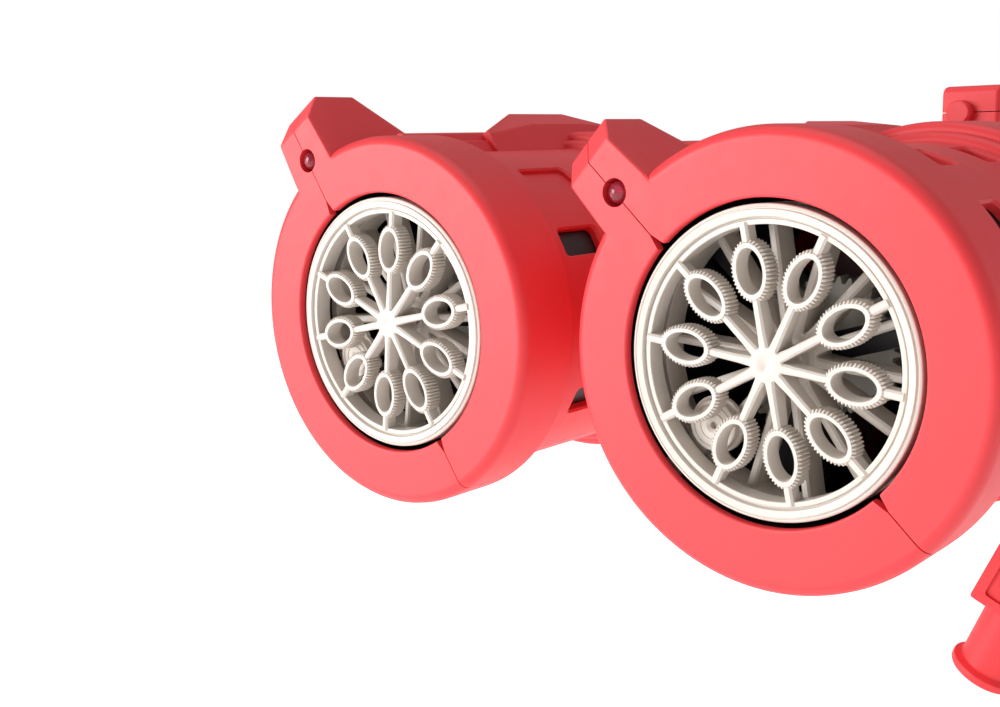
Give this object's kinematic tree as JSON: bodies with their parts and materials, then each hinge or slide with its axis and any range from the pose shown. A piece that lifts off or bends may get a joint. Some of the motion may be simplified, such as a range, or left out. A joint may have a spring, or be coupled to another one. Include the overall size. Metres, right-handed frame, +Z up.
{
  "type": "bubble machine",
  "caption": "Battery bubble machine: two swivelling barrels, each with a spinning wand wheel before a finned wheel, a pistol grip, a canted side grip, a carry handle and a screw-on bottle.",
  "frame": {"origin": "middle of the hand grip, on the machine's middle plane", "axes": "+X to the machine's right seen from the front, +Y back along the barrels, +Z up"},
  "size_m": [0.2036, 0.4461, 0.2195],
  "materials": {
    "black_plastic": "black moulded plastic",
    "board": "green solder mask",
    "bottle_plastic": "translucent bottle plastic",
    "clear_lens": "clear polished lens",
    "clear_tube": "clear soft tube",
    "coral_plastic": "fine matte moulded plastic",
    "natural_plastic": "natural acetal",
    "smoke_plastic": "smoky translucent plastic",
    "steel": "bright steel",
    "steel_can": "plated steel",
    "white_plastic": "satin off-white moulded plastic"
  },
  "bodies": {
    "frame": {"housing_top": "coral_plastic", "housing_bottom": "coral_plastic", "carry_handle_top": "coral_plastic", "carry_handle_base": "coral_plastic", "side_grip": "coral_plastic", "grip_left": "coral_plastic", "grip_right": "coral_plastic", "trigger_spring": "steel", "trigger_switch": "black_plastic", "batteries": "steel_can", "battery_contacts": "steel", "circuit_board": "board", "bottle_socket": "white_plastic", "intake_tube": "clear_tube", "pump_head": "black_plastic", "pump_motor": "steel_can", "feed_manifold": "clear_tube", "housing_screws": "steel"},
    "trigger": {"trigger": "white_plastic"},
    "battery_door": {"battery_door": "coral_plastic"},
    "light_button": {"light_button": "white_plastic"},
    "bottle": {"bottle": "bottle_plastic"},
    "left_barrel": {"left_outer_shell": "coral_plastic", "left_inner_shell": "coral_plastic", "left_led": "clear_lens", "left_liner": "black_plastic", "left_wheel_motor": "steel_can", "left_bearing_plate": "black_plastic", "left_motor_plate": "black_plastic", "left_feed_arm": "white_plastic", "left_feed_pad": "white_plastic", "left_feed_tube": "clear_tube", "left_fan_motor": "steel_can", "left_fan_bracket": "black_plastic", "left_casing_screws": "steel"},
    "left_wheels": {"left_front_wheel": "white_plastic", "left_back_wheel": "white_plastic", "left_wheel_shaft": "steel", "left_wheel_gear": "natural_plastic"},
    "left_pinion": {"left_drive_pinion": "natural_plastic"},
    "left_fan": {"left_fan": "smoke_plastic"},
    "right_barrel": {"right_outer_shell": "coral_plastic", "right_inner_shell": "coral_plastic", "right_led": "clear_lens", "right_liner": "black_plastic", "right_wheel_motor": "steel_can", "right_bearing_plate": "black_plastic", "right_motor_plate": "black_plastic", "right_feed_arm": "white_plastic", "right_feed_pad": "white_plastic", "right_feed_tube": "clear_tube", "right_fan_motor": "steel_can", "right_fan_bracket": "black_plastic", "right_casing_screws": "steel"},
    "right_wheels": {"right_front_wheel": "white_plastic", "right_back_wheel": "white_plastic", "right_wheel_shaft": "steel", "right_wheel_gear": "natural_plastic"},
    "right_pinion": {"right_drive_pinion": "natural_plastic"},
    "right_fan": {"right_fan": "smoke_plastic"}
  },
  "joints": [
    {"name": "left_barrel_swivel", "type": "hinge", "parent": "frame", "child": "left_barrel", "pos_m": [-0.0543, -0.247, 0.115], "axis": [0, 1, 0], "range_deg": [-25, 33.2]},
    {"name": "left_wheel_spin", "type": "hinge", "parent": "left_barrel", "child": "left_wheels", "pos_m": [-0.0543, -0.349, 0.115], "axis": [0, 1, 0], "continuous": true},
    {"name": "left_pinion_spin", "type": "hinge", "parent": "left_barrel", "child": "left_pinion", "pos_m": [-0.07045, -0.326, 0.10443], "axis": [0, 1, 0], "continuous": true},
    {"name": "left_fan_spin", "type": "hinge", "parent": "left_barrel", "child": "left_fan", "pos_m": [-0.0543, -0.287, 0.115], "axis": [0, 1, 0], "continuous": true},
    {"name": "right_barrel_swivel", "type": "hinge", "parent": "frame", "child": "right_barrel", "pos_m": [0.0543, -0.247, 0.115], "axis": [0, 1, 0], "range_deg": [-12, 46.8]},
    {"name": "right_wheel_spin", "type": "hinge", "parent": "right_barrel", "child": "right_wheels", "pos_m": [0.0543, -0.349, 0.115], "axis": [0, 1, 0], "continuous": true},
    {"name": "right_pinion_spin", "type": "hinge", "parent": "right_barrel", "child": "right_pinion", "pos_m": [0.04109, -0.326, 0.10093], "axis": [0, 1, 0], "continuous": true},
    {"name": "right_fan_spin", "type": "hinge", "parent": "right_barrel", "child": "right_fan", "pos_m": [0.0543, -0.287, 0.115], "axis": [0, 1, 0], "continuous": true},
    {"name": "trigger_pull", "type": "slide", "parent": "frame", "child": "trigger", "axis": [0, 1, 0], "range_m": [0, 0.006], "stiffness_N_per_m": 300, "springref_m": -0.003, "deforming": ["trigger_spring"]},
    {"name": "battery_door_hinge", "type": "hinge", "parent": "frame", "child": "battery_door", "pos_m": [0, 0.0354, 0.081], "axis": [-1, 0, 0], "range_deg": [0, 100]},
    {"name": "light_button_press", "type": "slide", "parent": "frame", "child": "light_button", "axis": [0, -1, 0], "range_m": [0, 0.0025], "stiffness_N_per_m": 300, "springref_m": -0.002},
    {"name": "bottle_unscrew", "type": "slide", "parent": "frame", "child": "bottle", "axis": [0, 0, -1], "range_m": [0, 0.05]}
  ],
  "couplings": [
    {"joint": "left_pinion_spin", "follows": "left_wheel_spin", "ratio": -3},
    {"joint": "right_pinion_spin", "follows": "right_wheel_spin", "ratio": -3}
  ]
}
